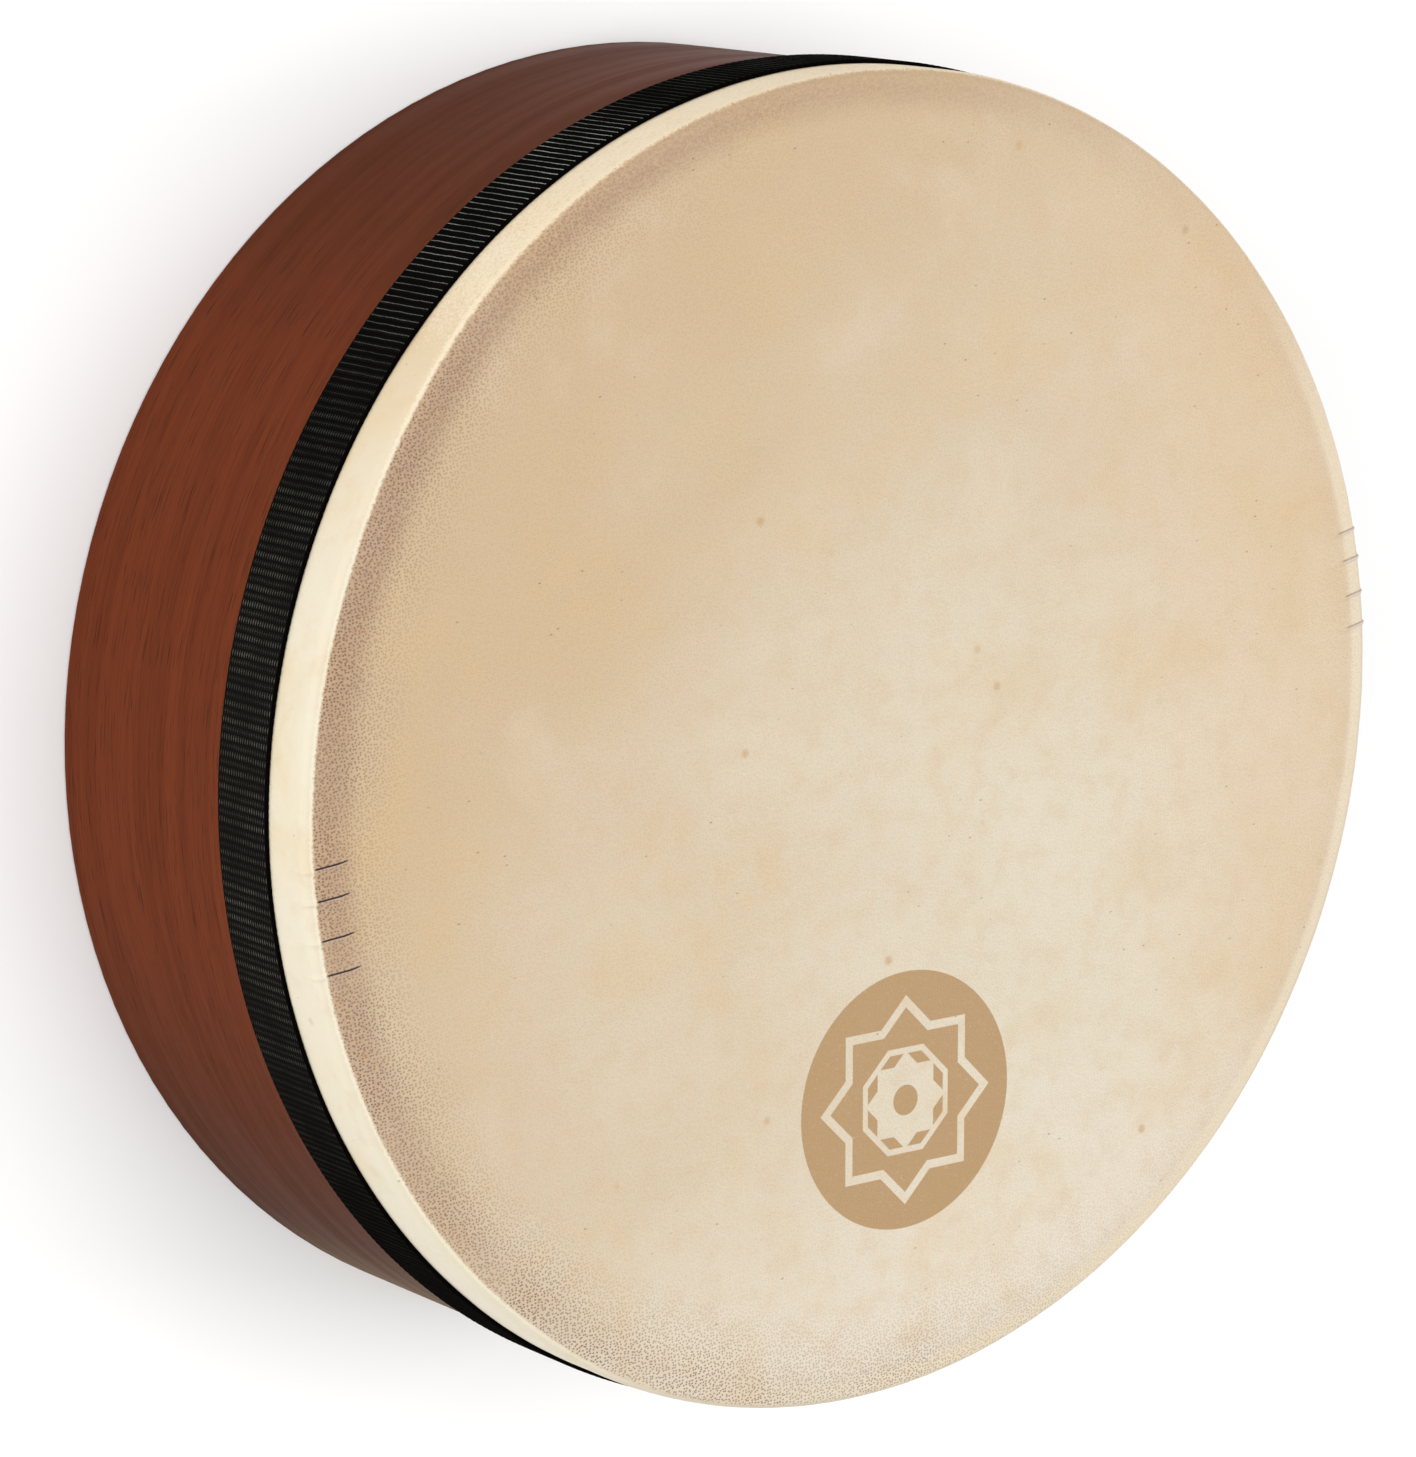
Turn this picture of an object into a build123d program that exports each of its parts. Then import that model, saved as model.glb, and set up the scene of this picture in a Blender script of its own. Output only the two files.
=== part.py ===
from build123d import *
import os
from math import asin, cos, radians, sin, sqrt, tan

# A hand-held frame drum of the bendir type, in millimetres.
#
# The drum lies on the back edge of its shell at z = 0, with the skin facing up along +Z, which is
# the drum's own axis. The snare strings run along X, and the thumb hole is towards -Y.

# Shell
SHELL_RADIUS = 177.8  # outside of the bare wood: a nominal 14 inch drum
SHELL_DEPTH = 115.6  # back edge to the crown of the bearing edge
PLY_COUNT = 6
PLY_THICKNESS = 1.55
PLY_SEAM_GAP = 0.12  # the butt joint of one bent veneer
PLY_SEAM_ANGLE = 290.0  # of the outermost veneer
BACK_EDGE_ROUND = 0.8

# Bearing edge, which the skin is drawn over
CROWN_INSET = 1.3  # inner wall to the middle of the crown
CROWN_RADIUS = 1.0
CROWN_SLOPE = 9.0  # degrees that the edge falls outwards from the crown
CROWN_BEVEL = 50.0  # degrees that it falls inwards
SHOULDER_RADIUS = 2.6

# Thumb hole through the shell
THUMB_HOLE_RADIUS = 11.5
THUMB_HOLE_HEIGHT = 42.0  # above the back edge
THUMB_HOLE_ANGLE = 270.0
THUMB_HOLE_ROUND = 1.2

# Skin
SKIN_THICKNESS = 0.7

# Band, whose two ends overlap
BAND_WIDTH = 22.6
BAND_THICKNESS = 1.1
BAND_DROP = 16.4  # face of the skin to the band's front edge
BAND_HIDES_SKIN = 1.5  # the skin's cut edge lies this far inside the band's rear edge
OVERLAP_LENGTH = 25.0
OVERLAP_ANGLE = 315.0  # of the overlap's middle
RAMP_LENGTH = 7.0  # where the outer end climbs over the inner one
PLY_CLEARANCE = 0.05  # between pieces that are laid one on another

# Snare strings
SNARE_OFFSETS = (16.5, 8.3, -1.9, -10.9)  # from the drum's centre
SNARE_RADIUS = 0.4
SNARE_BEND = 2.0  # radius of a string's bends over the edge
GROOVE_CLEARANCE = 0.1
GROOVE_RUN_OUT = 4.0  # how far inside the inner wall a groove's cutter starts

# Tacks: head radius, head thickness, shank radius, shank length
SNARE_TACK = (2.0, 0.5, 0.6, 6.0)
SKIN_TACK = (3.0, 0.6, 0.7, 6.5)
BAND_TACK = (3.4, 1.8, 0.8, 8.5)
SNARE_TACK_DROP = 9.8  # band's front edge to the tacks that hold the strings' ends
SKIN_TACK_COUNT = 24
SKIN_TACK_RISE = 5.4  # skin's cut edge to the tacks that hold it
BAND_TACK_COUNT = 3
TACK_POINT_SLOPE = 2.0  # length of a tack's point over its radius

WALL = PLY_COUNT * PLY_THICKNESS
INNER_RADIUS = SHELL_RADIUS - WALL
FACE = SHELL_DEPTH + SKIN_THICKNESS
BAND_TOP = FACE - BAND_DROP
BAND_FOOT = BAND_TOP - BAND_WIDTH
SKIN_FOOT = BAND_FOOT + BAND_HIDES_SKIN
BAND_INNER = SHELL_RADIUS + SKIN_THICKNESS
BAND_OUTER = BAND_INNER + BAND_THICKNESS
SNARE_FOOT = BAND_TOP - SNARE_TACK_DROP

# Cutters reach this far past what they cut
CUTTER_SPARE = 20.0
OUTSIDE = SHELL_RADIUS + CUTTER_SPARE
ABOVE = SHELL_DEPTH + CUTTER_SPARE

CROWN_CENTRE = (INNER_RADIUS + CROWN_INSET, SHELL_DEPTH - CROWN_RADIUS)


def slope_height(x, gap):
    """Height at x of the edge's outward slope, raised square to itself by gap."""
    s = radians(CROWN_SLOPE)
    reach = CROWN_RADIUS + gap + CROWN_CENTRE[0] * sin(s) + CROWN_CENTRE[1] * cos(s)
    return (reach - x * sin(s)) / cos(s)


def shoulder_centre():
    x = SHELL_RADIUS - SHOULDER_RADIUS
    return x, slope_height(x, -SHOULDER_RADIUS)


def on_arc(centre, radius, degrees_from_up):
    a = radians(degrees_from_up)
    return centre[0] + radius * sin(a), centre[1] + radius * cos(a)


def rim_curve(gap, foot):
    """Edges from the crown's top, over the shoulder and down the outside to the height foot.

    They lie outside the wood by gap. Pieces laid one on another share these curves.
    """
    crown = CROWN_RADIUS + gap
    shoulder = SHOULDER_RADIUS + gap
    centre = shoulder_centre()
    top = on_arc(CROWN_CENTRE, crown, 0)
    crown_middle = on_arc(CROWN_CENTRE, crown, CROWN_SLOPE / 2)
    crown_end = on_arc(CROWN_CENTRE, crown, CROWN_SLOPE)
    slope_end = on_arc(centre, shoulder, CROWN_SLOPE)
    shoulder_middle = on_arc(centre, shoulder, (CROWN_SLOPE + 90) / 2)
    wall_top = on_arc(centre, shoulder, 90)
    return [
        ThreePointArc(top, crown_middle, crown_end),
        Line(crown_end, slope_end),
        ThreePointArc(slope_end, shoulder_middle, wall_top),
        Line(wall_top, (SHELL_RADIUS + gap, foot)),
    ]


def revolve_profile(edges):
    """Revolve a closed outline, drawn as radius and height, about the drum's axis."""
    outline = make_face(Wire(edges))
    return revolve(Plane.XZ * outline, Axis.Z)


def shell_wood():
    """The whole shell as one solid, before it is parted into its veneers."""
    crown_top = on_arc(CROWN_CENTRE, CROWN_RADIUS, 0)
    crown_side = on_arc(CROWN_CENTRE, CROWN_RADIUS, -CROWN_BEVEL / 2)
    bevel_top = on_arc(CROWN_CENTRE, CROWN_RADIUS, -CROWN_BEVEL)
    bevel_fall = (bevel_top[0] - INNER_RADIUS) * tan(radians(CROWN_BEVEL))
    bevel_foot = (INNER_RADIUS, bevel_top[1] - bevel_fall)
    outer_foot = (SHELL_RADIUS, BACK_EDGE_ROUND)
    inner_foot = (INNER_RADIUS, BACK_EDGE_ROUND)
    outer_back = (SHELL_RADIUS - BACK_EDGE_ROUND, 0)
    inner_back = (INNER_RADIUS + BACK_EDGE_ROUND, 0)
    edges = rim_curve(0, BACK_EDGE_ROUND) + [
        RadiusArc(outer_foot, outer_back, BACK_EDGE_ROUND),
        Line(outer_back, inner_back),
        RadiusArc(inner_back, inner_foot, BACK_EDGE_ROUND),
        Line(inner_foot, bevel_foot),
        Line(bevel_foot, bevel_top),
        ThreePointArc(bevel_top, crown_side, crown_top),
    ]
    wood = revolve_profile(edges)
    drill = radial_rod(THUMB_HOLE_RADIUS, 0, OUTSIDE)
    wood -= placed(drill, THUMB_HOLE_ANGLE, THUMB_HOLE_HEIGHT)
    hole_rims = [e for e in wood.edges() if is_hole_rim(e)]
    return fillet(hole_rims, THUMB_HOLE_ROUND)


def is_hole_rim(edge):
    """True for the two edges of the thumb hole, in the shell's outer and inner walls."""
    box = edge.bounding_box()
    return box.min.Z > BACK_EDGE_ROUND and box.max.Z < BAND_FOOT


def radial_rod(radius, start, end):
    """A round rod along +X, from start to end."""
    rod = Cylinder(radius, end - start, align=(Align.CENTER, Align.CENTER, Align.MIN))
    return Pos(start, 0, 0) * Rot(0, 90, 0) * rod


def placed(piece, angle, height):
    """Turn a piece made along +X to an angle round the drum, and lift it."""
    return Pos(0, 0, height) * Rot(0, 0, angle) * piece


# Snare strings


def snare_inset(offset, reach=0.0):
    """How far the shell's outside has curved inwards at reach beyond a string's offset."""
    return SHELL_RADIUS - sqrt(SHELL_RADIUS**2 - (abs(offset) + reach) ** 2)


def snare_tack_seat(offset):
    """Where a sunk tack head starts, so that all of it lies below the shell's outside."""
    head_radius, head_thickness, _, _ = SNARE_TACK
    return SHELL_RADIUS - snare_inset(offset, head_radius) - head_thickness - PLY_CLEARANCE


def snare_line(offset, sink):
    """Corners of a string's path across the drum, in X and Z.

    Each end runs up the outside of the shell from below its tack's head, over the bearing edge and
    under the skin. sink lowers the path below the string's middle.
    """
    depth = SNARE_RADIUS + PLY_CLEARANCE + sink
    wall = snare_tack_seat(offset) - depth
    crown = CROWN_CENTRE[0] + (CROWN_RADIUS - depth) * tan(radians(CROWN_SLOPE / 2))
    inset = snare_inset(offset)
    foot = (wall, SNARE_FOOT + SNARE_TACK[2] + PLY_CLEARANCE)
    shoulder = (wall, slope_height(wall + inset, -depth))
    top = (crown - inset, SHELL_DEPTH - depth)
    right = [foot, shoulder, top]
    left = [(-x, z) for x, z in reversed(right)]
    return right + left


def snare_string(offset):
    corners = [(x, offset, z) for x, z in snare_line(offset, 0)]
    path = FilletPolyline(*corners, radius=SNARE_BEND)
    start = Plane(origin=path @ 0, z_dir=path % 0)
    return sweep(start * Circle(SNARE_RADIUS), path=path)


def snare_groove(offset):
    """What both of a string's grooves take from the shell."""
    half_width = SNARE_RADIUS + GROOVE_CLEARANCE
    foot, shoulder, top = snare_line(offset, half_width)[:3]
    inner = (INNER_RADIUS - GROOVE_RUN_OUT, top[1])
    floor = FilletPolyline(foot, shoulder, top, inner, radius=SNARE_BEND)
    rest = Polyline(inner, (inner[0], ABOVE), (OUTSIDE, ABOVE), (OUTSIDE, foot[1]), foot)
    outline = Plane.XZ.offset(-offset) * make_face(Wire(floor.edges() + rest.edges()))
    right = extrude(outline, amount=half_width, both=True)
    return right + mirror(right, Plane.YZ)


# Tacks


def tack(size, seat, domed=False):
    """A tack along +X whose head sits on the radius seat, with its point towards the axis."""
    head_radius, head_thickness, shank_radius, shank_length = size
    tip = (seat - shank_length, 0)
    shank_end = (seat - shank_length + TACK_POINT_SLOPE * shank_radius, shank_radius)
    shank_top = (seat, shank_radius)
    rim = (seat, head_radius)
    top = (seat + head_thickness, 0)
    edges = [Line(tip, shank_end), Line(shank_end, shank_top), Line(shank_top, rim), Line(top, tip)]
    if domed:
        ball = (head_radius**2 + head_thickness**2) / (2 * head_thickness)
        half = asin(head_radius / ball) / 2
        middle = (top[0] - ball + ball * cos(half), ball * sin(half))
        edges.append(ThreePointArc(rim, middle, top))
    else:
        corner = (top[0], head_radius)
        edges += [Line(rim, corner), Line(corner, top)]
    return revolve(make_face(Wire(edges)), Axis.X)


def skin_tack_places():
    """Angles and height of the tacks that hold the skin. The overlap falls midway between two."""
    step = 360 / SKIN_TACK_COUNT
    angles = [OVERLAP_ANGLE + (k + 0.5) * step for k in range(SKIN_TACK_COUNT)]
    return [(angle, SKIN_FOOT + SKIN_TACK_RISE) for angle in angles]


def band_tack_places():
    step = BAND_WIDTH / BAND_TACK_COUNT
    heights = [BAND_FOOT + (k + 0.5) * step for k in range(BAND_TACK_COUNT)]
    return [(OVERLAP_ANGLE, height) for height in heights]


def snare_tack(offset, side, grow=0.0):
    """The tack at one end of a string, its head flush with the shell. grow makes it a cutter."""
    head_radius, head_thickness, shank_radius, shank_length = SNARE_TACK
    size = (head_radius + grow, head_thickness + grow, shank_radius, shank_length)
    return Pos(0, offset, SNARE_FOOT) * Rot(0, 0, side) * tack(size, snare_tack_seat(offset))


def head_pocket(size, seat):
    """The room that a flat tack head takes in the piece laid over it."""
    head_radius, head_thickness, _, _ = size
    top = seat + head_thickness + PLY_CLEARANCE
    return radial_rod(head_radius + PLY_CLEARANCE, seat - head_thickness, top)


# Skin and band


def drumhead():
    """Flat skin, drawn over the bearing edge and down the outside of the shell."""
    outer = rim_curve(SKIN_THICKNESS, SKIN_FOOT)
    inner = rim_curve(0, SKIN_FOOT)
    crown = CROWN_CENTRE[0]
    closing = [
        Line((0, FACE), (crown, FACE)),
        Line((0, SHELL_DEPTH), (crown, SHELL_DEPTH)),
        Line((0, SHELL_DEPTH), (0, FACE)),
        Line((SHELL_RADIUS, SKIN_FOOT), (BAND_INNER, SKIN_FOOT)),
    ]
    return revolve_profile(outer + inner + closing)


def polar(radius, angle):
    return radius * cos(radians(angle)), radius * sin(radians(angle))


def arc_round(radius, start, end):
    return ThreePointArc(polar(radius, start), polar(radius, (start + end) / 2), polar(radius, end))


def rim_band():
    """One strip wound once round the drum. Its outer end climbs over its inner end."""
    half_overlap = (OVERLAP_LENGTH / 2) / radians(1) / BAND_OUTER
    ramp = RAMP_LENGTH / radians(1) / BAND_OUTER
    start = OVERLAP_ANGLE - half_overlap
    ramp_start = start + 360 - ramp
    ramp_end = start + 360
    end = OVERLAP_ANGLE + 360 + half_overlap
    lift = BAND_THICKNESS + PLY_CLEARANCE
    turn = (start + ramp_start) / 2
    edges = [
        arc_round(BAND_INNER, start, turn),
        arc_round(BAND_INNER, turn, ramp_start),
        Line(polar(BAND_INNER, ramp_start), polar(BAND_INNER + lift, ramp_end)),
        arc_round(BAND_INNER + lift, ramp_end, end),
        Line(polar(BAND_INNER + lift, end), polar(BAND_OUTER + lift, end)),
        arc_round(BAND_OUTER + lift, end, ramp_end),
        Line(polar(BAND_OUTER + lift, ramp_end), polar(BAND_OUTER, ramp_start)),
        arc_round(BAND_OUTER, ramp_start, turn),
        arc_round(BAND_OUTER, turn, start),
        Line(polar(BAND_OUTER, start), polar(BAND_INNER, start)),
    ]
    strip = extrude(make_face(Wire(edges)), amount=BAND_WIDTH)
    return Pos(0, 0, BAND_FOOT) * strip


def veneer(wood, index):
    """The index-th veneer, counted from the outside: a ring of the shell, open at its butt seam."""
    outer = SHELL_RADIUS - index * PLY_THICKNESS
    low = (Align.CENTER, Align.CENTER, Align.MIN)
    ring = Cylinder(outer, ABOVE, align=low)
    ring -= Cylinder(outer - PLY_THICKNESS, ABOVE, align=low)
    saw = Pos(OUTSIDE / 2, 0, 0) * Box(OUTSIDE, PLY_SEAM_GAP, 2 * ABOVE)
    angle = PLY_SEAM_ANGLE + index * 360 / PLY_COUNT
    return (wood & ring) - Rot(0, 0, angle) * saw


def main():
    skin_places = skin_tack_places()
    band_places = band_tack_places()
    snare_ends = [(offset, side) for offset in SNARE_OFFSETS for side in (0, 180)]
    band_tack_seat = BAND_OUTER + BAND_THICKNESS + PLY_CLEARANCE

    skin_tacks = [placed(tack(SKIN_TACK, BAND_INNER), *p) for p in skin_places]
    band_tacks = [placed(tack(BAND_TACK, band_tack_seat, True), *p) for p in band_places]
    snare_tacks = [snare_tack(*end) for end in snare_ends]
    driven = skin_tacks + band_tacks

    wood = shell_wood()
    cutters = driven + [snare_tack(*end, PLY_CLEARANCE) for end in snare_ends]
    cutters += [snare_groove(offset) for offset in SNARE_OFFSETS]
    for cutter in cutters:
        wood -= cutter

    skin = drumhead()
    band = rim_band()
    for cutter in driven:
        skin -= cutter
    pocket = head_pocket(SKIN_TACK, BAND_INNER)
    for cutter in band_tacks + [placed(pocket, *p) for p in skin_places]:
        band -= cutter

    nodes = {f"shell_ply_{i + 1}": [veneer(wood, i)] for i in range(PLY_COUNT)}
    nodes["drumhead"] = [skin]
    nodes["rim_band"] = [band]
    for i, offset in enumerate(SNARE_OFFSETS):
        nodes[f"snare_string_{i + 1}"] = [snare_string(offset)]
    nodes["drumhead_tacks"] = skin_tacks
    nodes["band_end_tacks"] = band_tacks
    nodes["snare_tacks"] = snare_tacks

    os.makedirs("parts", exist_ok=True)
    for name, pieces in nodes.items():
        solids = [solid for piece in pieces for solid in piece.solids()]
        export_step(Compound(children=solids), f"parts/{name}.step")
        print(name, len(solids), round(sum(s.volume for s in solids), 1))


main()
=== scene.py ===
"""A bendir frame drum lying on its back edge, skin up. Lengths are in metres, in the frame's own axes."""

import math

import bpy
import numpy as np
from mathutils import Matrix, Vector, noise


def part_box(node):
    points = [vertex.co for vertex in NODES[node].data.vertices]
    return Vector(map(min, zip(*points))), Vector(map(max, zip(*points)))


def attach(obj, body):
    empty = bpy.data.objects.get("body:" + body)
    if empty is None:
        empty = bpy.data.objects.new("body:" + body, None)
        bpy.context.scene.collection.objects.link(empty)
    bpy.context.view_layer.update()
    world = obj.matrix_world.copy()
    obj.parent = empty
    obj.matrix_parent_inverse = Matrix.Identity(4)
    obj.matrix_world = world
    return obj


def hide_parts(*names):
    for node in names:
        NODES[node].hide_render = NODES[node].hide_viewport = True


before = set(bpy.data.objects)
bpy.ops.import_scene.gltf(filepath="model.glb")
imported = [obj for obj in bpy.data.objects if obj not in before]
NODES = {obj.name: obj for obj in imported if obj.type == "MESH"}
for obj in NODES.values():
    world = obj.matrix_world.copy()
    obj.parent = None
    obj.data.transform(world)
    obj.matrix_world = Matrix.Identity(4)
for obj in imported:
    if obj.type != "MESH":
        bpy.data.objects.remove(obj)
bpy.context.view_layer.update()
MM = 0.001

# Sizes read from the frame
SHELL_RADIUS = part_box("shell_ply_1")[1].x
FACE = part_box("drumhead")[1].z
SKIN_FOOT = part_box("drumhead")[0].z
BAND_FOOT, BAND_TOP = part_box("rim_band")[0].z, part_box("rim_band")[1].z
BAND_INNER = -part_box("drumhead")[0].x
BAND_OUTER = -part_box("rim_band")[0].x
SKIN_THICKNESS = BAND_INNER - SHELL_RADIUS
BAND_THICKNESS = BAND_OUTER - BAND_INNER
STRING_NAMES = sorted(name for name in NODES if name.startswith("snare_string"))
STRING_OFFSETS = [(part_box(name)[0].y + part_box(name)[1].y) / 2 for name in STRING_NAMES]

# The bearing edge under the skin
CROWN_RADIUS = 1.0 * MM
CROWN_AT = 169.8 * MM
CROWN_SLOPE = math.radians(9)
SHOULDER_RADIUS = 2.6 * MM

# The skin's mesh: radii of its flat rings in mm, steps along crown, slope, shoulder and wall, and angles
OUTER_RINGS = (12, 35, 60, 85, 108, 128, 143, 153, 159, 163, 165.5, 167.2, 168.2, 169.1)
OUTER_STEPS = (4, 9, 9, 11)
INNER_RINGS = (12, 40, 75, 110, 138, 155, 164, 168)
INNER_STEPS = (3, 5, 6, 5)
MIDDLE_STEPS = (9, 9, 17, 9)
ANGLE_STEP = 0.8
RIDGE_REACH = 2.6 * MM
RIDGE_POINTS = 41

# The ridge that a string raises in the skin: where it starts and fades, and its shape
RIDGE_START = 166.6 * MM
RIDGE_RISE = 2.6 * MM
RIDGE_HALF_WIDTH = 0.62 * MM
RIDGE_HEIGHTS = (0.42 * MM, 0.47 * MM)
RIDGE_FADE_DROP = 2.0 * MM
RIDGE_FADE_LENGTH = 3.5 * MM
RIDGE_FADE = 0.92

# Slow unevenness, each wave as (height, scale, seed)
HIDE_WANDER = ((0.10 * MM, 38, 1), (0.045 * MM, 150, 2))
HIDE_LOOSE_OVER = 6 * MM
BAND_SWAY = ((0.16 * MM, 6, 3), (0.06 * MM, 31, 4))

# Zones of the skin, by radius
SKIRT_FROM, SKIRT_FULL = 175.5 * MM, 176.3 * MM
SKIRT_SHIFT_TOP, SKIRT_SHIFT_LOW = 1.9 * MM, 1.5 * MM
SKIRT_FRAY = 1.2 * MM
SHOULDER_HIGHLIGHT_AT = 176.4 * MM
RING_FROM, RING_FULL = 161.0 * MM, 171.3 * MM
RING_FADE, RING_END = 173.0 * MM, 177.0 * MM
RING_SHIFT_TOP = 3.5 * MM
RING_BLUR = 5.0 * MM
SLOPE_HIGHLIGHT_FROM, SLOPE_HIGHLIGHT_FULL = 170.4 * MM, 173.2 * MM
FOLLICLES_FROM, FOLLICLES_FULL = 146 * MM, 176 * MM
FLESH_FULL, FLESH_END = 168.5 * MM, 169.0 * MM

# Painted shadow and painted highlight along the strings
CREASE_SHADOW_FROM, CREASE_SHADOW_FULL = 165.8 * MM, 167.4 * MM
RIDGE_HIGHLIGHT_FROM, RIDGE_HIGHLIGHT_FULL = 167.5 * MM, 170.0 * MM
MARKS_FADE, MARKS_END = 175.3 * MM, 176.3 * MM
CREASE_SHADOW_OFFSET = 0.45 * MM
RIDGE_HIGHLIGHT_OFFSET = -0.15 * MM

# The round print on the skin, its lines as (outer edge, width)
PRINT_CENTRE = (-3.0 * MM, -97.6 * MM)
PRINT_RADIUS = 35.5 * MM
PRINT_TURN = math.radians(-8)
PRINT_BLUR = 0.12 * MM
STAR_LINE = (20.5 * MM, 2.4 * MM)
OCTAGON_LINE = (14.6 * MM, 1.7 * MM)
ROSETTE = 9.6 * MM
EYE_RADIUS = 4.2 * MM

# The band's overlap and weave
OVERLAP_ANGLE = math.radians(315)
OVERLAP_LENGTH = 25 * MM
RAMP_LENGTH = 7 * MM
LAYER_GAP = 0.05 * MM
RIB_PITCH = 2.1 * MM
RIB_STEPS = 6
RIB_HEIGHT = 0.16 * MM
RIB_NOTCH = 0.11 * MM
YARN_PITCH = 0.53 * MM
YARN_WAVER = 0.5 * MM
SELVEDGE_FROM, SELVEDGE_FULL = 1.0 * MM, 0.6 * MM

# The camera, in the frame's axes, and its lens in mm on a sensor 36 mm wide
CAMERA_PLACE = (-0.8456, 0.4230, 1.1096)
CAMERA_FORWARD = (0.5574, -0.2832, -0.7805)
CAMERA_RIGHT = (0.7889, -0.1124, 0.6041)
CAMERA_LENS = 136.96
CAMERA_SENSOR = 36
CAMERA_REACH = 100

# Lights as (azimuth, elevation, distance, size, power), and the floor
LIGHTS = {
    "key": (166, 26, 6.0, 3.9, 216),
    "top": (60, 80, 7.2, 5.4, 162),
    "right": (-14, 24, 5.4, 2.4, 90),
}
LIGHT_TARGET = (0, 0, 0.06)
SKY_STRENGTH = 0.68
FLOOR_HALF = 40.0
FLOOR_DROP = 0.2 * MM


# Colour and node helpers


def srgb(red, green, blue):
    """Linear colour of an 8-bit sRGB one."""
    channels = []
    for value in (red, green, blue):
        c = value / 255
        channels.append(c / 12.92 if c <= 0.04045 else ((c + 0.055) / 1.055) ** 2.4)
    return tuple(channels)


class Shader:
    """A material under construction, with short calls for the nodes it needs."""

    def __init__(self, name):
        self.material = bpy.data.materials.new(name)
        self.material.use_nodes = True
        self.nodes = self.material.node_tree.nodes
        self.links = self.material.node_tree.links
        self.surface = self.nodes["Principled BSDF"]
        self.position = self.add("ShaderNodeTexCoord").outputs["Object"]
        self.axes = None

    def add(self, kind, **settings):
        node = self.nodes.new(kind)
        for key, value in settings.items():
            setattr(node, key, value)
        return node

    def put(self, socket, value):
        if isinstance(value, bpy.types.NodeSocket):
            self.links.new(value, socket)
        elif isinstance(value, (tuple, list)) and len(value) == 3 and socket.type == "RGBA":
            socket.default_value = (*value, 1)
        else:
            socket.default_value = value

    def math(self, operation, *values, clamp=False):
        node = self.add("ShaderNodeMath", operation=operation, use_clamp=clamp)
        for socket, value in zip(node.inputs, values):
            self.put(socket, value)
        return node.outputs[0]

    def plus(self, a, b):
        return self.math("ADD", a, b)

    def minus(self, a, b, clamp=False):
        return self.math("SUBTRACT", a, b, clamp=clamp)

    def times(self, first, *others):
        for other in others:
            first = self.math("MULTIPLY", first, other)
        return first

    def larger(self, a, b):
        return self.math("MAXIMUM", a, b)

    def apart(self, a, b):
        """Distance between two numbers."""
        return self.math("ABSOLUTE", self.minus(a, b))

    def length(self, a, b):
        return self.math("SQRT", self.plus(self.times(a, a), self.times(b, b)))

    def around(self, value, size):
        """A noise value moved to swing about zero, size wide in all."""
        return self.times(self.minus(value, 0.5), size)

    def xyz(self):
        if self.axes is None:
            node = self.add("ShaderNodeSeparateXYZ")
            self.put(node.inputs[0], self.position)
            self.axes = node.outputs
        return self.axes

    def slanted(self, x_share, y_share):
        """Weighted sum of object x and y."""
        x, y, _ = self.xyz()
        return self.plus(self.times(y, y_share), self.times(x, x_share))

    def stretched(self, x, y, z, source=None):
        """Object position, or another vector, with each axis scaled."""
        node = self.add("ShaderNodeMapping")
        self.put(node.inputs["Vector"], source or self.position)
        node.inputs["Scale"].default_value = (x, y, z)
        return node.outputs[0]

    def noise(self, vector, scale=1.0, detail=3.0, roughness=0.5, distortion=0.0):
        node = self.add("ShaderNodeTexNoise")
        self.put(node.inputs["Vector"], vector)
        settings = {"Scale": scale, "Detail": detail, "Roughness": roughness, "Distortion": distortion}
        for key, value in settings.items():
            node.inputs[key].default_value = value
        return node.outputs["Fac"]

    def cells(self, vector, scale=1.0, randomness=1.0, flat=False):
        """Distance to the nearest scattered point, in space or over the flat XY plane."""
        node = self.add("ShaderNodeTexVoronoi", voronoi_dimensions="2D" if flat else "3D")
        self.put(node.inputs["Vector"], vector)
        node.inputs["Scale"].default_value = scale
        node.inputs["Randomness"].default_value = randomness
        return node.outputs["Distance"]

    def ramp(self, value, low, high, out_low=0.0, out_high=1.0):
        """Smooth step of value from low to high."""
        node = self.add("ShaderNodeMapRange", interpolation_type="SMOOTHSTEP")
        self.put(node.inputs["Value"], value)
        limits = {"From Min": low, "From Max": high, "To Min": out_low, "To Max": out_high}
        for key, number in limits.items():
            self.put(node.inputs[key], number)
        return node.outputs["Result"]

    def mix(self, factor, a, b, blend="MIX"):
        node = self.add("ShaderNodeMix", data_type="RGBA", blend_type=blend)
        self.put(node.inputs["Factor"], factor)
        self.put(node.inputs["A"], a)
        self.put(node.inputs["B"], b)
        return node.outputs["Result"]

    def over(self, colour, *layers):
        """Colour with each layer, a share and a tint, mixed over it in turn."""
        for share, tint in layers:
            colour = self.mix(share, colour, tint)
        return colour

    def bump(self, height, strength, distance, normal=None):
        node = self.add("ShaderNodeBump")
        node.inputs["Strength"].default_value = strength
        node.inputs["Distance"].default_value = distance
        self.put(node.inputs["Height"], height)
        if normal is not None:
            self.put(node.inputs["Normal"], normal)
        return node.outputs["Normal"]

    def finish(self, **sockets):
        for key, value in sockets.items():
            self.put(self.surface.inputs[key.replace("_", " ")], value)
        return self.material


# Mesh helpers


def make_mesh(name, vertices, faces):
    mesh = bpy.data.meshes.new(name)
    mesh.from_pydata(vertices.tolist(), [], faces)
    mesh.update()
    mesh.polygons.foreach_set("use_smooth", [True] * len(mesh.polygons))
    piece = bpy.data.objects.new(name, mesh)
    bpy.context.scene.collection.objects.link(piece)
    return piece


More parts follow.
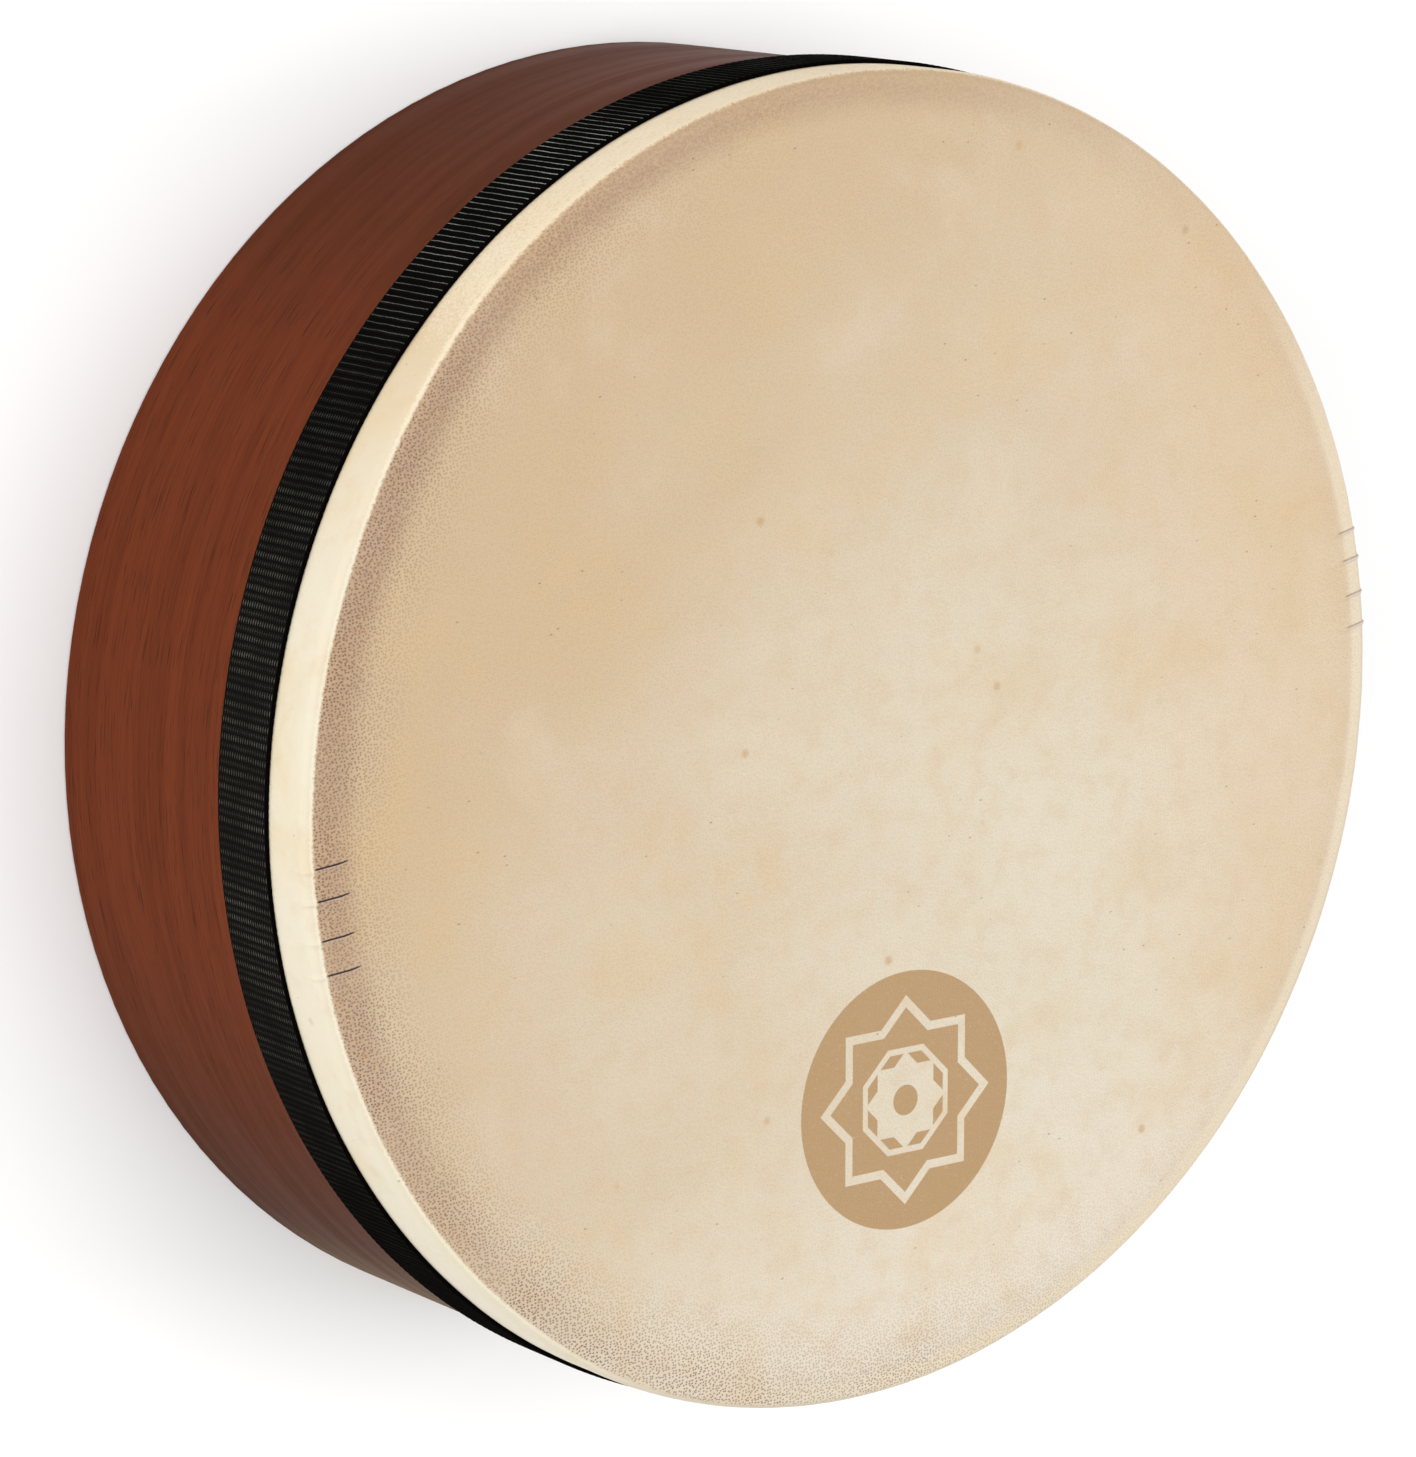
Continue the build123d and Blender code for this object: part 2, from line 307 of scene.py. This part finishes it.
def grid_faces(rows, columns):
    """Quads of a grid of vertices laid row by row, each row closed on itself."""
    i, j = np.meshgrid(np.arange(rows - 1), np.arange(columns), indexing="ij")
    after = (j + 1) % columns
    row, next_row = i * columns, (i + 1) * columns
    quads = np.stack([row + j, row + after, next_row + after, next_row + j], -1)
    return quads.reshape(-1, 4).tolist()


def noise_at(points, scale, seed):
    """Smooth noise from -1 to 1 at rows of points."""
    shift = Vector((seed * 7.3, seed * 3.1, seed * 1.7))
    return np.array([noise.noise(Vector(p) * scale + shift) for p in points])


def wander_at(points, waves):
    """Sum of smooth waves at rows of points."""
    return sum(height * noise_at(points, scale, seed) for height, scale, seed in waves)


# Skin


def rim_profile(gap, foot, steps):
    """Points (radius, height) and outward normals from the crown's top to the foot, gap off the wood."""
    crown_steps, slope_steps, shoulder_steps, wall_steps = steps
    crown = np.array([CROWN_AT, FACE - SKIN_THICKNESS - CROWN_RADIUS])
    normal = np.array([math.sin(CROWN_SLOPE), math.cos(CROWN_SLOPE)])
    shoulder_x = SHELL_RADIUS - SHOULDER_RADIUS
    reach = crown @ normal + CROWN_RADIUS - SHOULDER_RADIUS
    shoulder = np.array([shoulder_x, (reach - shoulder_x * normal[0]) / normal[1]])

    def arc(centre, radius, start, end, count):
        a = np.linspace(start, end, count)
        normals = np.stack([np.sin(a), np.cos(a)], -1)
        return centre + radius * normals, normals

    first, first_n = arc(crown, CROWN_RADIUS + gap, 0, CROWN_SLOPE, crown_steps)
    last, last_n = arc(shoulder, SHOULDER_RADIUS + gap, CROWN_SLOPE, math.pi / 2, shoulder_steps)
    t = np.linspace(0, 1, slope_steps + 2)[1:-1, None]
    slope = first[-1] * (1 - t) + last[0] * t
    t = np.linspace(0, 1, wall_steps + 1)[1:, None]
    wall = last[-1] * (1 - t) + np.array([last[-1][0], foot]) * t
    points = np.concatenate([first, slope, last, wall])
    normals = np.concatenate([first_n, np.repeat(normal[None], slope_steps, 0), last_n])
    normals = np.concatenate([normals, np.repeat([[1.0, 0.0]], wall_steps, 0)])
    return points, normals


def skin_angles():
    """Angles round the drum, dense where a string crosses the edge."""
    angles = set(np.round(np.radians(np.arange(0, 360, ANGLE_STEP)), 6))
    for offset in STRING_OFFSETS:
        lean = math.asin(offset / SHELL_RADIUS)
        for middle in (lean, math.pi - lean):
            near = middle + np.linspace(-RIDGE_REACH, RIDGE_REACH, RIDGE_POINTS) / SHELL_RADIUS
            angles |= set(np.round(near % (2 * math.pi), 6))
    return np.array(sorted(angles))


def string_lift(y, radius, height):
    """How far a string under the skin lifts it, at points of the bearing edge."""
    lift = np.zeros_like(y)
    along = np.clip((radius - RIDGE_START) / RIDGE_RISE, 0, 1)
    along = along * along * (3 - 2 * along)
    down = np.clip((FACE - height - RIDGE_FADE_DROP) / RIDGE_FADE_LENGTH, 0, 1)
    for k, offset in enumerate(STRING_OFFSETS):
        across = np.abs(y - offset) / RIDGE_HALF_WIDTH
        ridge = RIDGE_HEIGHTS[k % 2] * np.exp(-(across**1.6))
        lift = np.maximum(lift, ridge * along * (1 - RIDGE_FADE * down))
    return lift


def skin_side(gap, angles, flat_rings, steps):
    """Grid of one side of the skin, from the innermost ring to the foot."""
    rim, rim_normals = rim_profile(gap, SKIN_FOOT, steps)
    height = FACE - SKIN_THICKNESS + gap
    disc = np.array([[r * MM, height] for r in flat_rings])
    points = np.concatenate([disc, rim])
    normals = np.concatenate([np.repeat([[0.0, 1.0]], len(disc), 0), rim_normals])
    cos, sin = np.cos(angles)[None], np.sin(angles)[None]
    radius, z = points[:, :1], points[:, 1:]
    x, y = radius * cos, radius * sin
    push = string_lift(y, radius, z)

    # Hide is never quite even: the slope and skirt wander a little
    loose = np.clip((radius[:, 0] - CROWN_AT) / HIDE_LOOSE_OVER, 0, 1)
    for row in np.nonzero(loose > 0)[0]:
        spots = np.stack([x[row], y[row], np.full(len(angles), z[row, 0])], -1)
        push[row] += loose[row] * wander_at(spots, HIDE_WANDER)
    x = x + push * normals[:, :1] * cos
    y = y + push * normals[:, :1] * sin
    z = z + push * normals[:, 1:]
    return np.stack([x, y, z], -1)


def make_skin():
    angles = skin_angles()
    outer = skin_side(SKIN_THICKNESS, angles, OUTER_RINGS, OUTER_STEPS)
    inner = skin_side(0.0, angles, INNER_RINGS, INNER_STEPS)
    count = len(angles)
    rings = np.concatenate([outer, inner[::-1]])
    vertices = rings.reshape(-1, 3)
    faces = grid_faces(len(rings), count)

    # A fan closes the middle of each side
    top, under = len(vertices), len(vertices) + 1
    centres = np.array([[0, 0, FACE], [0, 0, FACE - SKIN_THICKNESS]])
    last = (len(rings) - 1) * count
    for j in range(count):
        after = (j + 1) % count
        faces.append([top, after, j])
        faces.append([under, last + j, last + after])
    faces = [face[::-1] for face in faces]
    skin = make_mesh("goatskin", np.concatenate([vertices, centres]), faces)
    skin.data.materials.append(skin_material())
    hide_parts("drumhead")
    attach(skin, "root")
    radius = blank_radius()


def blank_radius():
    """Radius of the round of hide that the drumhead was cut from, by area."""
    points, _ = rim_profile(SKIN_THICKNESS / 2, SKIN_FOOT, MIDDLE_STEPS)
    steps = np.diff(points, axis=0)
    rim = 2 * math.pi * (np.hypot(*steps.T) * (points[1:, 0] + points[:-1, 0]) / 2).sum()
    return math.sqrt((math.pi * points[0, 0] ** 2 + rim) / math.pi)


def hide_colour(s, radius, cloud, patch, mottle):
    """Tan towards the upper left, pale in the middle and towards the print."""
    x, y, _ = s.xyz()
    pale = s.minus(s.times(x, 2.0), s.times(y, 3.0))
    pale = s.minus(pale, s.times(radius, radius, 14.0))
    pale = s.plus(pale, s.around(cloud, 0.9))
    tan, cream = srgb(190, 165, 132), srgb(207, 197, 177)
    return s.over(
        s.mix(s.ramp(pale, -0.85, 0.4), tan, cream),
        (s.ramp(x, 0.05, 0.15, 0.0, 0.6), srgb(204, 179, 147)),
        (s.ramp(y, -0.165, -0.09, 0.75, 0.0), srgb(212, 201, 184)),
        (s.ramp(patch, 0.46, 0.74, 0.0, 0.36), srgb(200, 171, 124)),
        (s.ramp(patch, 0.28, 0.46, 0.3, 0.0), srgb(206, 188, 166)),
        (s.ramp(mottle, 0.42, 0.72, 0.0, 0.26), srgb(195, 168, 134)),
    )


def skirt_place(s, radius):
    """Radius with a frayed edge, shifted so that the skirt is narrower at the top and bottom."""
    _, y, _ = s.xyz()
    place = s.plus(radius, s.around(s.noise(s.position, 1300, 2), SKIRT_FRAY))
    place = s.minus(place, s.ramp(s.slanted(0.3, 1.0), 0.03, 0.13, 0.0, SKIRT_SHIFT_TOP))
    return s.minus(place, s.ramp(y, -0.165, -0.11, SKIRT_SHIFT_LOW, 0.0))


def skirt_colour(s, place, turned, cloud, patch, mottle):
    """The skirt, paler than the face, with tints by place, a painted highlight along its edge, stronger
    towards the upper left, and painted shade towards the right and bottom.
    """
    _, y, _ = s.xyz()
    golden = s.times(s.ramp(y, 0.07, 0.17, 0.0, 0.75), s.ramp(cloud, 0.35, 0.6, 0.45, 1.0))
    # Painted highlight along the skirt's edge, stronger towards the upper left
    shoulder_highlight = s.ramp(s.apart(place, SHOULDER_HIGHLIGHT_AT), 0.1 * MM, 0.6 * MM, 0.5, 0.0)
    shoulder_highlight = s.times(shoulder_highlight, s.ramp(turned, -0.2, 0.3, 0.2, 1.0))
    return s.over(
        srgb(207, 198, 177),
        (s.ramp(patch, 0.5, 0.7, 0.0, 0.5), srgb(203, 182, 142)),
        (s.ramp(mottle, 0.5, 0.72, 0.0, 0.2), srgb(190, 164, 130)),
        (golden, srgb(198, 168, 124)),
        # Painted shade towards the right and bottom
        (s.ramp(turned, -0.45, 0.15, 1.0, 0.0), srgb(196, 180, 156)),
        (shoulder_highlight, srgb(228, 217, 194)),
    )


def ring_layers(s, radius, turned):
    """Where the skin lies tight on the edge: a darker ring, partly the wood showing through the skin and
    partly painted shade, stronger towards the upper left, and a painted highlight on the slope on the other
    side.
    """
    _, y, _ = s.xyz()
    blur = s.around(s.noise(s.position, 110, 5, 0.65), RING_BLUR)
    waver = s.plus(radius, blur)
    inner = s.minus(waver, s.ramp(y, 0.08, 0.16, 0.0, RING_SHIFT_TOP))
    # Darker ring: partly the wood showing through, partly painted shade, stronger towards the upper left
    show_through_and_shade = s.times(
        s.ramp(inner, RING_FROM, RING_FULL),
        s.ramp(waver, RING_FADE, RING_END, 1.0, 0.7),
        s.ramp(turned, -0.3, 1.3, 0.05, 0.55),
        s.ramp(s.noise(s.position, 1000, 3, 0.7), 0.34, 0.66, 0.62, 1.15),
    )
    # Painted highlight on the outer slope, towards the right
    pale = s.ramp(s.plus(radius, s.times(blur, 0.25)), SLOPE_HIGHLIGHT_FROM, SLOPE_HIGHLIGHT_FULL)
    pale = s.times(pale, s.ramp(turned, -0.75, -0.2, 0.9, 0.0))
    return (show_through_and_shade, srgb(134, 97, 80)), (pale, srgb(212, 197, 171))


def follicle_share(s, radius, dot):
    """How much each follicle shows: thick near the rim at the lower left, and in loose clumps."""
    near_rim = s.ramp(radius, FOLLICLES_FROM, FOLLICLES_FULL, 0.0, 0.85)
    low_left = s.ramp(s.slanted(-3.4, -1.2), -0.25, 0.5, 0.06, 1.0)
    thick = s.plus(0.075, s.times(near_rim, low_left))
    return s.times(dot, thick, s.ramp(s.noise(s.position, 34, 3), 0.36, 0.62, 0.65, 1.0))


def stain_layers(s):
    """Sparse stains and nicks."""
    p = s.position
    spot = s.times(s.ramp(s.cells(p, 62), 0.03, 0.12, 0.5, 0.0), s.ramp(s.noise(p, 18, 2), 0.5, 0.58))
    nick = s.ramp(s.cells(s.stretched(120, 260, 260)), 0.03, 0.075, 0.6, 0.0)
    nick = s.times(nick, s.ramp(s.noise(p, 27, 2), 0.5, 0.56))
    return (spot, srgb(174, 130, 72)), (nick, srgb(112, 80, 56))


def string_layers(s, radius):
    """A painted highlight on each string's ridge and a painted shadow line beside it, lighter and shorter on
    the right.
    """
    x, y, _ = s.xyz()
    crease_shadow, pale = 0.0, 0.0
    # Each string: a painted shadow line on one side and a painted highlight on the other
    for offset in STRING_OFFSETS:
        shadow_line = s.ramp(s.apart(y, offset + CREASE_SHADOW_OFFSET), 0.12 * MM, 0.3 * MM, 1.0, 0.0)
        highlight_line = s.ramp(s.apart(y, offset + RIDGE_HIGHLIGHT_OFFSET), 0.2 * MM, 0.7 * MM, 1.0, 0.0)
        crease_shadow, pale = s.larger(crease_shadow, shadow_line), s.larger(pale, highlight_line)
    end = s.minus(radius, s.ramp(x, -0.1, 0.1, 0.0, 1.8 * MM))
    start = s.minus(radius, s.ramp(x, -0.1, 0.1, 0.0, 3.4 * MM))
    on_edge = s.ramp(end, MARKS_FADE, MARKS_END, 1.0, 0.0)
    crease_shadow = s.times(crease_shadow, on_edge, s.ramp(start, CREASE_SHADOW_FROM, CREASE_SHADOW_FULL), s.ramp(x, -0.1, 0.1, 1.0, 0.4))
    pale = s.times(pale, on_edge, s.ramp(start, RIDGE_HIGHLIGHT_FROM, RIDGE_HIGHLIGHT_FULL), s.ramp(x, -0.1, 0.1, 0.18, 0.7))
    return (pale, srgb(196, 176, 170)), (crease_shadow, srgb(34, 18, 20))


def print_share(s):
    """The round print, worn a little, with an eight-pointed star and an octagon left bare in it."""
    x, y, _ = s.xyz()
    x, y = s.minus(x, PRINT_CENTRE[0]), s.minus(y, PRINT_CENTRE[1])
    cos, sin = math.cos(PRINT_TURN), math.sin(PRINT_TURN)
    across = s.math("ABSOLUTE", s.plus(s.times(x, cos), s.times(y, sin)))
    along = s.math("ABSOLUTE", s.minus(s.times(y, cos), s.times(x, sin)))
    radius = s.length(x, y)

    def inside(distance, edge):
        return s.ramp(distance, edge - PRINT_BLUR, edge + PRINT_BLUR, 1.0, 0.0)

    def line(distance, edge, width):
        return s.minus(inside(distance, edge), inside(distance, edge - width), clamp=True)

    square = s.larger(across, along)
    diamond = s.times(s.plus(across, along), math.sqrt(0.5))
    star = s.math("MINIMUM", square, diamond)
    octagon = s.larger(square, diamond)
    bare = s.larger(line(star, *STAR_LINE), line(octagon, *OCTAGON_LINE))
    bare = s.larger(bare, inside(star, ROSETTE))
    bare = s.minus(bare, inside(radius, EYE_RADIUS), clamp=True)
    worn = s.ramp(s.noise(s.position, 900, 2), 0.25, 0.4, 0.86, 1.0)
    return s.times(inside(radius, PRINT_RADIUS), s.minus(1.0, bare), worn, 0.95)


def skin_material():
    s = Shader("goatskin")
    x, y, z = s.xyz()
    p = s.position
    radius = s.length(x, y)
    turned = s.slanted(-4.5, 3.8)
    cloud = s.noise(p, 9, 4, 0.55, 0.4)
    patch = s.noise(p, 24, 5, 0.62, 0.3)
    mottle = s.noise(p, 130, 4, 0.6)

    place = skirt_place(s, radius)
    skirt = s.ramp(place, SKIRT_FROM, SKIRT_FULL)
    pit = s.cells(s.stretched(980, 1130, 1), 1.0, 0.7, flat=True)
    dot = s.times(s.ramp(pit, 0.1, 0.42, 1.0, 0.0), s.minus(1.0, skirt))

    # The flesh side, seen from inside the shell
    inside = s.ramp(z, FACE - 0.5 * MM, FACE - 0.3 * MM, 1.0, 0.0)
    inside = s.times(inside, s.ramp(radius, FLESH_FULL, FLESH_END, 1.0, 0.0))

    colour = s.over(
        hide_colour(s, radius, cloud, patch, mottle),
        *ring_layers(s, radius, turned),
        (follicle_share(s, radius, dot), srgb(108, 76, 62)),
        (skirt, skirt_colour(s, place, turned, cloud, patch, mottle)),
        *stain_layers(s),
        *string_layers(s, radius),
        (print_share(s), srgb(166, 133, 90)),
        (inside, srgb(214, 190, 152)),
    )
    pebble = s.minus(s.noise(p, 640, 3, 0.6), s.times(dot, 0.5))
    normal = s.bump(pebble, 0.6, 0.2 * MM)
    normal = s.bump(patch, 0.25, 0.5 * MM, normal)
    return s.finish(
        Base_Color=colour,
        Roughness=s.ramp(patch, 0.3, 0.7, 0.5, 0.62),
        Normal=normal,
        Subsurface_Weight=0.1,
        Subsurface_Radius=(0.004, 0.002, 0.001),
        Subsurface_Scale=0.5,
        Specular_IOR_Level=0.35,
        Sheen_Weight=0.03,
    )


# Band


def band_path():
    """Angles along the strip and how far its inner face stands off the skin, from inner to outer end."""
    half = OVERLAP_LENGTH / 2 / BAND_OUTER
    start, end = OVERLAP_ANGLE - half, OVERLAP_ANGLE + 2 * math.pi + half
    length = (end - start) * BAND_OUTER
    count = int(length / RIB_PITCH * RIB_STEPS) + 1
    along = np.linspace(0, length, count)
    angle = start + along / BAND_OUTER
    ramp_angle = RAMP_LENGTH / BAND_OUTER
    climb = np.clip((angle - (start + 2 * math.pi - ramp_angle)) / ramp_angle, 0, 1)
    lift = (BAND_THICKNESS + LAYER_GAP) * climb
    return along, angle, lift


def band_section():
    """Closed cross-section of the strip: (height share, thickness share, rib share), outer face first."""
    outer = [(t, 1.0, 1.0) for t in np.linspace(0.06, 0.94, 9)]
    far = [(0.975, 0.93, 0.55), (0.995, 0.72, 0.2), (1.0, 0.45, 0.0), (0.993, 0.12, 0.0)]
    inner = [(0.7, 0.0, 0.0), (0.3, 0.0, 0.0)]
    near = [(1 - t, thick, rib) for t, thick, rib in reversed(far)]
    return np.array(outer + far + inner + near)


def make_band():
    along, angle, lift = band_path()
    section = band_section()
    width = BAND_TOP - BAND_FOOT
    dip = 1 - np.abs(np.cos(math.pi * along / RIB_PITCH)) ** 0.8
    spots = np.stack([np.cos(angle), np.sin(angle), 0 * angle], -1)
    sway = wander_at(spots, BAND_SWAY)
    cos, sin = np.cos(angle)[:, None], np.sin(angle)[:, None]
    t, thick, rib = section[None, :, 0], section[None, :, 1], section[None, :, 2]
    radius = BAND_INNER + lift[:, None] + thick * BAND_THICKNESS - RIB_HEIGHT * dip[:, None] * rib

    # The edges are notched between ribs and sway a little
    inward = np.maximum(sway[:, None] * 0.6 + RIB_NOTCH * dip[:, None], -0.1 * MM)
    z = BAND_FOOT + t * width - 2 * (t - 0.5) * inward
    grid = np.stack([radius * cos, radius * sin, z + 0 * radius], -1)
    rows, columns = grid.shape[:2]
    faces = grid_faces(rows, columns)
    faces.append(list(range(columns)))
    faces.append(list(range(rows * columns - 1, (rows - 1) * columns - 1, -1)))
    band = make_mesh("webbing_band", grid.reshape(-1, 3), faces)

    # The weave's own map: length along the strip and height across it
    weave = band.data.uv_layers.new(name="weave")
    corners = np.empty(len(band.data.loops), dtype=np.int32)
    band.data.loops.foreach_get("vertex_index", corners)
    places = np.stack([np.repeat(along, columns), (grid[..., 2] - BAND_FOOT).ravel()], -1)
    weave.data.foreach_set("uv", places[corners].ravel())
    band.data.materials.append(band_material())
    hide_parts("rim_band")
    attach(band, "root")


def band_material():
    s = Shader("webbing")
    split = s.add("ShaderNodeSeparateXYZ")
    s.put(split.inputs[0], s.add("ShaderNodeUVMap", uv_map="weave").outputs[0])
    along, across, _ = split.outputs
    x, y, _ = s.xyz()
    waver = s.around(s.noise(s.position, 190, 2), YARN_WAVER)
    yarn = s.math("DIVIDE", s.plus(across, s.times(waver, 0.25)), YARN_PITCH)
    parity = s.times(s.math("FLOOR", yarn), math.pi)
    turn = s.times(s.plus(along, waver), math.pi / RIB_PITCH)
    crest = s.math("COSINE", s.plus(turn, parity))
    rib = s.math("COSINE", turn)
    body = s.math("SINE", s.times(s.math("FRACT", yarn), math.pi))
    yarn_top = s.ramp(body, 0.55, 0.97)
    fray = s.noise(s.position, 2600, 2, 0.7)
    patchy = s.ramp(s.noise(s.position, 75, 3), 0.3, 0.7, 0.35, 1.0)

    # Shine painted in the base colour, by place: dashes on the left, every other rib more
    dash = s.times(
        s.ramp(crest, 0.2, 0.95),
        yarn_top,
        s.ramp(rib, -0.5, 0.5, 0.35, 1.0),
        s.ramp(y, -0.09, 0.02, 0.1, 1.0),
        s.ramp(y, 0.08, 0.15, 1.0, 0.05),
        patchy,
        s.ramp(fray, 0.3, 0.6, 0.3, 1.0),
    )

    # Glints painted on the rib tops towards +Y, as the shader's own gloss is off
    glint = s.times(
        s.ramp(s.math("ABSOLUTE", rib), 0.972, 0.997),
        yarn_top,
        s.ramp(s.slanted(0.25, 1.0), 0.085, 0.175, 0.03, 0.95),
        s.ramp(x, -0.055, -0.025, 1.0, 0.15),
        patchy,
        s.ramp(fray, 0.3, 0.55, 0.4, 1.0),
    )
    half = (BAND_TOP - BAND_FOOT) / 2
    selvedge = s.ramp(s.apart(across, half), half - SELVEDGE_FROM, half - SELVEDGE_FULL)
    colour = s.over(
        srgb(18, 17, 15),
        # Painted shade: the black ground darker still towards +Y and towards -Y
        (s.ramp(y, 0.05, 0.14), srgb(9, 9, 8)),
        (s.ramp(y, -0.1, -0.02, 1.0, 0.0), srgb(10, 9, 8)),
        (dash, srgb(98, 98, 90)),
        (glint, srgb(250, 250, 240)),
        (selvedge, srgb(7, 6, 5)),
    )
    height = s.plus(s.times(s.ramp(crest, -0.6, 1.0), body), s.times(fray, 0.25))
    return s.finish(
        Base_Color=colour,
        Roughness=0.55,
        Normal=s.bump(height, 0.8, 0.2 * MM),
        Specular_IOR_Level=0.0,
    )


# Wood, strings and tacks


def wood_material(name, light, seed):
    """Stained wood with its grain round the shell, under two flat tints by place that are painted light.

    The real wood doesn't have these tints: the darker one is painted shade towards +Y and -Y, the olive one a
    painted reflection towards -Y. They were set so that the strips at the drum's top and foot match in the
    main view. On the -Y side, out of that view, they cover the grain and turn it olive.
    """
    s = Shader(name)
    _, y, _ = s.xyz()
    moved = s.add("ShaderNodeMapping")
    s.put(moved.inputs["Vector"], s.position)
    moved.inputs["Location"].default_value = (seed, seed * 0.7, seed * 1.3)
    p = moved.outputs[0]
    streak = s.noise(s.stretched(3.2, 3.2, 150, p), 1.0, 6, 0.6, 0.2)
    fine = s.noise(s.stretched(16, 16, 1300, p), 1.0, 3, 0.65)
    tone = s.noise(s.stretched(1.6, 1.6, 12, p), 1.0, 3, 0.5)
    pore = s.ramp(s.noise(s.stretched(80, 80, 3300, p), 1.0, 2, 0.55), 0.58, 0.68)
    colour = s.over(
        s.mix(s.ramp(streak, 0.3, 0.72), srgb(103, 48, 25), srgb(93, 43, 23)),
        (s.ramp(fine, 0.42, 0.75, 0.0, 0.5), srgb(74, 34, 19)),
        (s.ramp(tone, 0.42, 0.75, 0.0, 0.3), srgb(108, 53, 30)),
        (s.times(pore, 0.7), srgb(40, 18, 10)),
    )
    colour = s.mix(1.0, colour, (light, light, light), "MULTIPLY")
    # Painted shade towards +Y and -Y, and a painted olive reflection towards -Y
    painted_shade_share = s.larger(s.ramp(y, 0.12, 0.174, 0.0, 0.5), s.ramp(y, -0.12, 0.0, 0.8, 0.0))
    painted_reflection_share = s.ramp(y, -0.15, -0.105, 0.6, 0.0)
    painted_light_tints = (painted_shade_share, srgb(62, 32, 14)), (painted_reflection_share, srgb(110, 90, 50))
    return s.finish(
        Base_Color=s.over(colour, *painted_light_tints),
        Roughness=s.ramp(streak, 0.3, 0.7, 0.38, 0.5),
        Normal=s.bump(s.minus(s.times(fine, 0.5), pore), 0.3, 0.10 * MM),
        Specular_IOR_Level=0.015,
    )


def string_material():
    s = Shader("snare_gut")
    twist = s.noise(s.stretched(300, 4000, 4000), 1.0, 2)
    colour = s.mix(s.ramp(twist, 0.3, 0.7), srgb(222, 206, 170), srgb(190, 168, 128))
    return s.finish(
        Base_Color=colour,
        Roughness=0.4,
        Normal=s.bump(twist, 0.3, 0.05 * MM),
        Subsurface_Weight=0.1,
    )


def metal_material(name, base, dull, roughness):
    s = Shader(name)
    tarnish = s.noise(s.position, 420, 4, 0.6)
    scratch = s.noise(s.stretched(3000, 400, 1200), 1.0, 2)
    return s.finish(
        Base_Color=s.mix(s.ramp(tarnish, 0.4, 0.65), base, dull),
        Metallic=1.0,
        Roughness=s.ramp(tarnish, 0.35, 0.7, roughness, roughness + 0.25),
        Normal=s.bump(scratch, 0.2, 0.03 * MM),
    )


def dress(names, material):
    for name in names:
        slots = NODES[name].data.materials
        slots.clear()
        slots.append(material)


def dress_frame():
    """Materials of the pieces that stay as the frame made them. The middle veneers are a little darker."""
    for k in range(1, 7):
        light = 1.0 if k in (1, 6) else 0.92
        dress([f"shell_ply_{k}"], wood_material(f"wood_ply_{k}", light, 0.37 * k))
    dress(STRING_NAMES, string_material())
    steel = metal_material("tack_steel", srgb(190, 190, 192), srgb(120, 116, 112), 0.3)
    brass = metal_material("tack_brass", srgb(176, 140, 84), srgb(104, 80, 46), 0.32)
    dress(["drumhead_tacks", "snare_tacks"], steel)
    dress(["band_end_tacks"], brass)


# Studio


def make_camera():
    """The viewpoint: up and to the left of the skin, rolled so that the drum seems to stand on its rim."""
    data = bpy.data.cameras.new("camera")
    camera = bpy.data.objects.new("camera", data)
    bpy.context.scene.collection.objects.link(camera)
    forward = Vector(CAMERA_FORWARD).normalized()
    up = Vector(CAMERA_RIGHT).cross(forward).normalized()
    right = forward.cross(up)
    place = Vector(CAMERA_PLACE) + Vector((0, 0, FACE))
    camera.matrix_world = Matrix.Translation(place) @ Matrix((right, up, -forward)).transposed().to_4x4()
    data.sensor_width = CAMERA_SENSOR
    data.lens = CAMERA_LENS
    data.clip_end = CAMERA_REACH
    bpy.context.scene.camera = camera


def make_floor():
    mesh = bpy.data.meshes.new("floor")
    corners = [(x * FLOOR_HALF, y * FLOOR_HALF, 0) for x, y in ((-1, -1), (1, -1), (1, 1), (-1, 1))]
    mesh.from_pydata(corners, [], [(0, 1, 2, 3)])
    floor = bpy.data.objects.new("floor", mesh)
    bpy.context.scene.collection.objects.link(floor)
    s = Shader("floor")
    colour = s.mix(s.noise(s.position, 3, 2), srgb(250, 250, 250), srgb(252, 252, 252))
    mesh.materials.append(s.finish(Base_Color=colour, Roughness=0.8, Specular_IOR_Level=0.1))
    floor.location.z = -FLOOR_DROP


def area_light(name, azimuth, elevation, distance, size, power):
    """A square light at an angle round the drum and an elevation, aimed at the drum."""
    data = bpy.data.lights.new(name, "AREA")
    data.shape = "SQUARE"
    data.size = size
    data.energy = power
    light = bpy.data.objects.new(name, data)
    bpy.context.scene.collection.objects.link(light)
    a, e = math.radians(azimuth), math.radians(elevation)
    away = Vector((math.cos(a) * math.cos(e), math.sin(a) * math.cos(e), math.sin(e)))
    light.location = Vector(LIGHT_TARGET) + away * distance
    light.rotation_mode = "QUATERNION"
    light.rotation_quaternion = away.to_track_quat("Z", "Y")


def make_studio():
    make_floor()
    world = bpy.data.worlds.new("studio")
    bpy.context.scene.world = world
    world.use_nodes = True
    background = world.node_tree.nodes["Background"]
    background.inputs["Color"].default_value = (1, 1, 1, 1)
    background.inputs["Strength"].default_value = SKY_STRENGTH
    for name, settings in LIGHTS.items():
        area_light(name, *settings)
    bpy.context.scene.view_settings.view_transform = "Standard"


make_camera()
make_studio()
make_skin()
make_band()
dress_frame()
